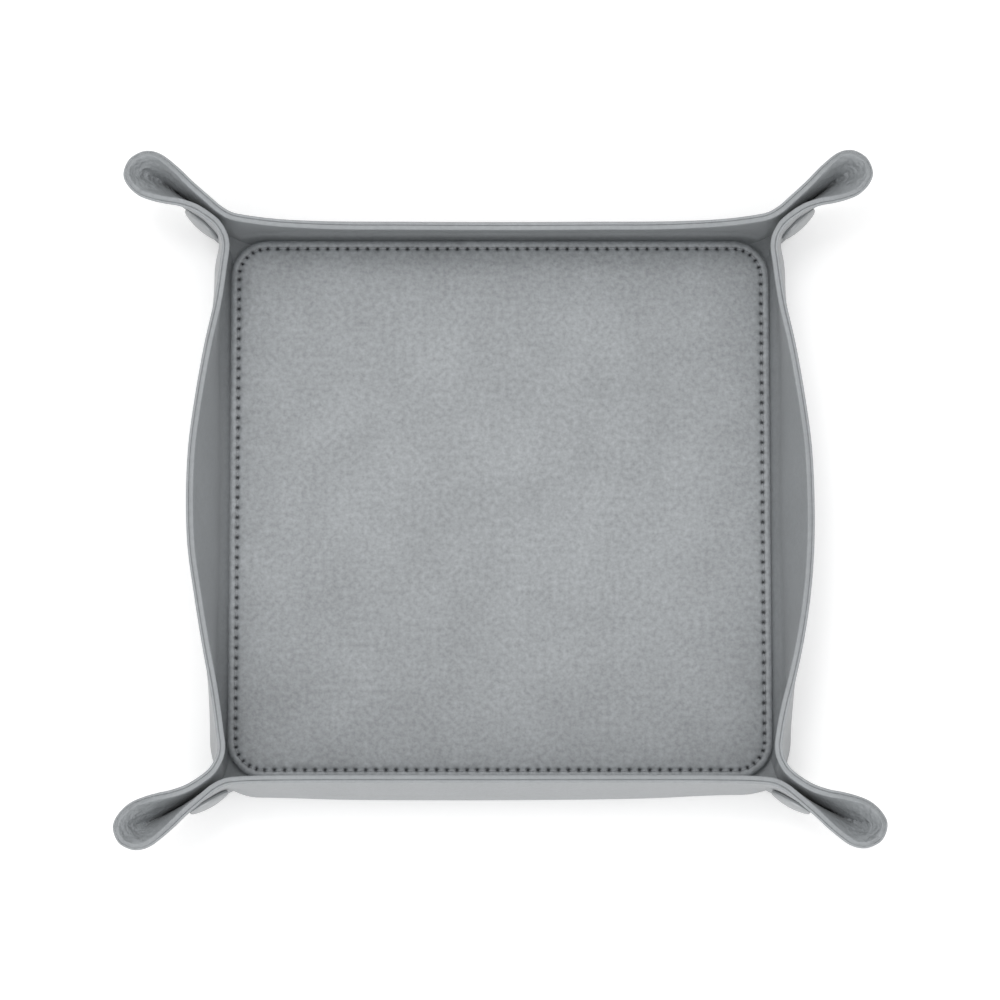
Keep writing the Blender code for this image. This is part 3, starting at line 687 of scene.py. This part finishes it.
# The twist of the thread is painted in bands from dark to light: painted shade in the grooves between its
# plies and painted light on their crowns.
TWIST_SHADE_COLOUR = (0.26, 0.27, 0.285, 1)
TWIST_LIGHT_COLOUR = (0.40, 0.415, 0.43, 1)
thread_look = bpy.data.materials.new("grey_sewing_thread")
thread_look.use_nodes = True
thread_nodes, thread_links = thread_look.node_tree.nodes, thread_look.node_tree.links
shader = thread_nodes["Principled BSDF"]
shader.inputs["Roughness"].default_value = 0.75
where = thread_nodes.new("ShaderNodeTexCoord")
twist = thread_nodes.new("ShaderNodeTexWave")
twist.inputs["Scale"].default_value = 1500
twist.bands_direction = "DIAGONAL"
tone = thread_nodes.new("ShaderNodeValToRGB")
tone.color_ramp.elements[0].color = TWIST_SHADE_COLOUR
tone.color_ramp.elements[1].color = TWIST_LIGHT_COLOUR
thread_links.new(where.outputs["Object"], twist.inputs["Vector"])
thread_links.new(twist.outputs["Fac"], tone.inputs["Fac"])
thread_links.new(tone.outputs["Color"], shader.inputs["Base Color"])

bpy.ops.object.select_all(action="DESELECT")
bpy.ops.mesh.primitive_cylinder_add(vertices=6, radius=1, depth=2, end_fill_type="TRIFAN")
bight = bpy.context.object
bight.name = "pad_stitches"
bpy.ops.object.mode_set(mode="EDIT")
for height in (0, 0.6, -0.6):
    bpy.ops.mesh.select_all(action="SELECT")
    bpy.ops.mesh.bisect(plane_co=(0, 0, height), plane_no=(0, 0, 1))
bpy.ops.object.mode_set(mode="OBJECT")
one = np.array([vertex.co for vertex in bight.data.vertices])
faces = [list(polygon.vertices) for polygon in bight.data.polygons]
seam = pad_ring(SEAM_INSET, PAD_COLUMNS)[0]
bowed_seam = pad_ring(SEAM_INSET - STITCH_BOW, PAD_COLUMNS)[0]
points, polygons = [], []
for number in range(STITCHES):
    begins = number * STEPS + 1
    bows = number * STEPS + STEPS // 2
    ends = number * STEPS + STEPS - 1
    outward = bowed_seam[bows] - seam[bows]
    middle = (seam[begins] + seam[ends]) / 2
    ahead = (seam[ends] - seam[begins]) / 2
    reach = np.linalg.norm(ahead)
    ahead = ahead / reach
    across = np.array([-ahead[1], ahead[0]])
    for x, y, z in one:
        thick = THREAD * (1 - THREAD_TAPER * abs(z) ** 3)
        plan = middle + ahead * z * reach + across * (x * thick + STITCH_SLANT * z)
        plan = plan + outward * (1 - z * z)
        dip = STITCH_DIP * abs(z) ** 3
        points.append((plan[0], plan[1], PAD_TOP - THREAD_SUNK + y * thick - dip))
    polygons += [[corner + number * len(one) for corner in face] for face in faces]
bight.data.clear_geometry()
bight.data.from_pydata(points, [], polygons)
bpy.ops.object.mode_set(mode="EDIT")
bpy.ops.mesh.select_all(action="SELECT")
bpy.ops.mesh.normals_make_consistent(inside=False)
bpy.ops.object.mode_set(mode="OBJECT")
bpy.ops.object.shade_smooth()
bight.data.materials.append(thread_look)
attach(bight, "tray_floor")
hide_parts("pad_stitching")

# The press studs. Each is four turned metal pieces, riveted through the sheet: a domed cap and a
# socket on the half of the ear that faces south, a stud and a flanged back on the other. The caps
# are enamelled grey, painted a little lighter than their own grey as painted light, and the rest is
# nickel plated. Heights are from the outer face of the sheet.
CAP = [
    (0, 0), (0.0056, 0), (0.0059, 0.0003), (0.0060, 0.0007), (0.0058, 0.0011), (0.0053, 0.0014),
    (0.0046, 0.0016), (0.0036, 0.0018), (0.0024, 0.0020), (0.0012, 0.0021), (0, 0.0021),
]
SOCKET = [
    (0.0019, -0.0015), (0.0018, -0.0023), (0.0020, -0.00250), (0.0023, -0.00258), (0.0031, -0.00258),
    (0.0035, -0.0025), (0.0037, -0.0022), (0.0037, -0.0015), (0.0019, -0.0015),
]
STUD = [
    (0, -0.0034), (0.0009, -0.0034), (0.0013, -0.0032), (0.0014, -0.0029), (0.0011, -0.0025),
    (0.0011, -0.0023), (0.0016, -0.0022), (0.0017, -0.0021), (0.0017, -0.0015), (0, -0.0015),
]
BACK = [
    (0, 0.0001), (0.0013, 0.0001), (0.0013, 0.0003), (0.0043, 0.0003), (0.0046, 0.0005), (0.0046, 0.0008),
    (0.0043, 0.0010), (0.0030, 0.0011), (0.0026, 0.0009), (0.0014, 0.0009), (0.0010, 0.0013), (0, 0.0013),
]
STUD_REACH = 0.0054
# The caps' own enamel is the grey of the leatherette, painted lighter than that: partly painted light, to
# lift the caps out of the shade under the rims.
ENAMEL_COLOUR_WITH_PAINTED_LIGHT = (0.45, 0.465, 0.475, 1)
NICKEL_COLOUR = (0.6, 0.6, 0.58, 1)
enamel = bpy.data.materials.new("grey_enamel")
enamel.use_nodes = True
shader = enamel.node_tree.nodes["Principled BSDF"]
shader.inputs["Base Color"].default_value = ENAMEL_COLOUR_WITH_PAINTED_LIGHT
shader.inputs["Metallic"].default_value = 0.35
shader.inputs["Coat Weight"].default_value = 0.4
shader.inputs["Coat Roughness"].default_value = 0.2
marked(enamel, size=0.0007, depth=0.00001, low=0.30, high=0.44)
nickel = bpy.data.materials.new("nickel_plate")
nickel.use_nodes = True
shader = nickel.node_tree.nodes["Principled BSDF"]
shader.inputs["Base Color"].default_value = NICKEL_COLOUR
shader.inputs["Metallic"].default_value = 1
marked(nickel, size=0.0004, depth=0.000006, low=0.20, high=0.36)


def spun(name, outline, centre, axis):
    """A turned metal piece: half of its section is drawn as a line of edges, then spun."""
    bpy.ops.object.select_all(action="DESELECT")
    bpy.ops.mesh.primitive_plane_add(size=0.001)
    piece = bpy.context.object
    piece.name = name
    bpy.ops.object.mode_set(mode="EDIT")
    bpy.ops.mesh.select_all(action="SELECT")
    bpy.ops.mesh.merge(type="CENTER")
    bpy.ops.transform.translate(value=(outline[0][0], 0, outline[0][1]))
    for (r0, z0), (r1, z1) in zip(outline, outline[1:]):
        bpy.ops.mesh.extrude_region_move(TRANSFORM_OT_translate={"value": (r1 - r0, 0, z1 - z0)})
    bpy.ops.mesh.select_all(action="SELECT")
    bpy.ops.mesh.spin(steps=48, angle=2 * math.pi, center=(0, 0, 0), axis=(0, 0, 1))
    bpy.ops.mesh.select_all(action="SELECT")
    bpy.ops.mesh.remove_doubles(threshold=0.000005)
    bpy.ops.mesh.normals_make_consistent(inside=False)
    bpy.ops.object.mode_set(mode="OBJECT")
    turn = axis.to_track_quat("Z", "Y").to_matrix().to_4x4()
    piece.data.transform(Matrix.Translation(centre) @ turn)
    bpy.ops.object.shade_smooth_by_angle(angle=math.radians(40))
    return piece


def stud_seat(tag, half):
    """Where the stud's axis leaves the outer face of a half of an ear, and which way."""
    place = ear_place(tag, half, 1, 2)
    along, up = np.meshgrid(np.linspace(0, 1, 201), np.linspace(0.3, 0.8, 201))
    along, up = along.ravel(), up.ravel()
    spots = place(along, up)
    origin = FOLD - CORNER_LEAN * STUD_HEIGHT / WALL_HEIGHT
    u = (spots[:, :2] - origin) @ EAR_LINE
    best = np.argmin((u - STUD_REACH) ** 2 + (spots[:, 2] - STUD_HEIGHT) ** 2)
    around = np.array([[0.10, 0], [-0.10, 0], [0, 0.10], [0, -0.10]]) + (along[best], up[best])
    ahead, behind, above, below = place(*around.T)
    normal = np.cross(ahead - behind, above - below) * (-1 if half == "long" else 1)
    normal /= np.linalg.norm(normal)
    return Vector(spots[best] + SHEET / 2 * normal), Vector(normal)


for tag, corner in CORNERS.items():
    there = Matrix.Diagonal((*corner, 1))
    facing, away = ("side", "long") if corner[1] > 0 else ("long", "side")
    for kind, half, outline, look, slot in (
        ("cap", facing, CAP, enamel, "grey_enamel"), ("socket", facing, SOCKET, nickel, "nickel_plate"),
        ("stud", away, STUD, nickel, "nickel_plate"), ("back", away, BACK, nickel, "nickel_plate"),
    ):
        seat, normal = stud_seat(tag, half)
        made = spun(f"press_stud_{tag}_{kind}", outline, there @ seat, there @ normal)
        made.data.materials.append(look)
        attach(made, f"ear_{tag}_{wall_of(tag, half)}_neck")
        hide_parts(f"snap_{tag}_{kind}")

# The place: a pale floor that the tray stands on, soft light from above and a little from the
# south, and the camera of the picture, high over the tray's south side.
GROUND_COLOUR = (0.86, 0.86, 0.86, 1)
GROUND_LIFT = 0.33
SKY_STRENGTH = 0.55
LAMPS = (
    ("overhead", (-0.05, 0.05, 1.3), 1.6, 6.8),
    ("north_key", (-0.22, 0.32, 1.5), 0.35, 3.4),
    ("south_sheet", (0.0, -1.1, 0.55), 1.0, 3.5),
)
CAMERA_AWAY = 1.1
CAMERA_ELEVATION = math.radians(83)
FRAME_WIDTH = 36
LENS = FRAME_WIDTH * 3.9325
PICTURE_SHIFT = 0.0095
bpy.ops.object.select_all(action="DESELECT")
bpy.ops.mesh.primitive_plane_add(size=6, location=(0, 0, -0.0002))
ground = bpy.context.object
ground.name = "pale_floor"
paper = bpy.data.materials.new("pale_floor")
paper.use_nodes = True
shader = paper.node_tree.nodes["Principled BSDF"]
shader.inputs["Base Color"].default_value = GROUND_COLOUR
shader.inputs["Roughness"].default_value = 0.9
shader.inputs["Specular IOR Level"].default_value = 0.1
seen = paper.node_tree.nodes.new("ShaderNodeLightPath")
lift = paper.node_tree.nodes.new("ShaderNodeMath")
lift.operation = "MULTIPLY"
lift.inputs[1].default_value = GROUND_LIFT
paper.node_tree.links.new(seen.outputs["Is Camera Ray"], lift.inputs[0])
shader.inputs["Emission Color"].default_value = (1, 1, 1, 1)
paper.node_tree.links.new(lift.outputs[0], shader.inputs["Emission Strength"])
ground.data.materials.append(paper)

world = bpy.context.scene.world or bpy.data.worlds.new("soft_room")
bpy.context.scene.world = world
world.use_nodes = True
world.node_tree.nodes["Background"].inputs["Color"].default_value = (1, 1, 1, 1)
world.node_tree.nodes["Background"].inputs["Strength"].default_value = SKY_STRENGTH

for name, place, size, power in LAMPS:
    data = bpy.data.lights.new(name, "AREA")
    data.energy = power
    data.size = size
    lamp = bpy.data.objects.new(name, data)
    bpy.context.collection.objects.link(lamp)
    lamp.location = place
    lamp.rotation_euler = Vector(place).to_track_quat("Z", "Y").to_euler()

camera_data = bpy.data.cameras.new("picture_camera")
camera_data.sensor_width = FRAME_WIDTH
camera_data.lens = LENS
camera_data.shift_y = PICTURE_SHIFT
camera_data.clip_end = 10
camera = bpy.data.objects.new("picture_camera", camera_data)
bpy.context.collection.objects.link(camera)
camera.location = (0, -CAMERA_AWAY * math.cos(CAMERA_ELEVATION), CAMERA_AWAY * math.sin(CAMERA_ELEVATION))
camera.rotation_euler = (math.pi / 2 - CAMERA_ELEVATION, 0, 0)
bpy.context.scene.camera = camera
bpy.context.scene.view_settings.view_transform = "Standard"
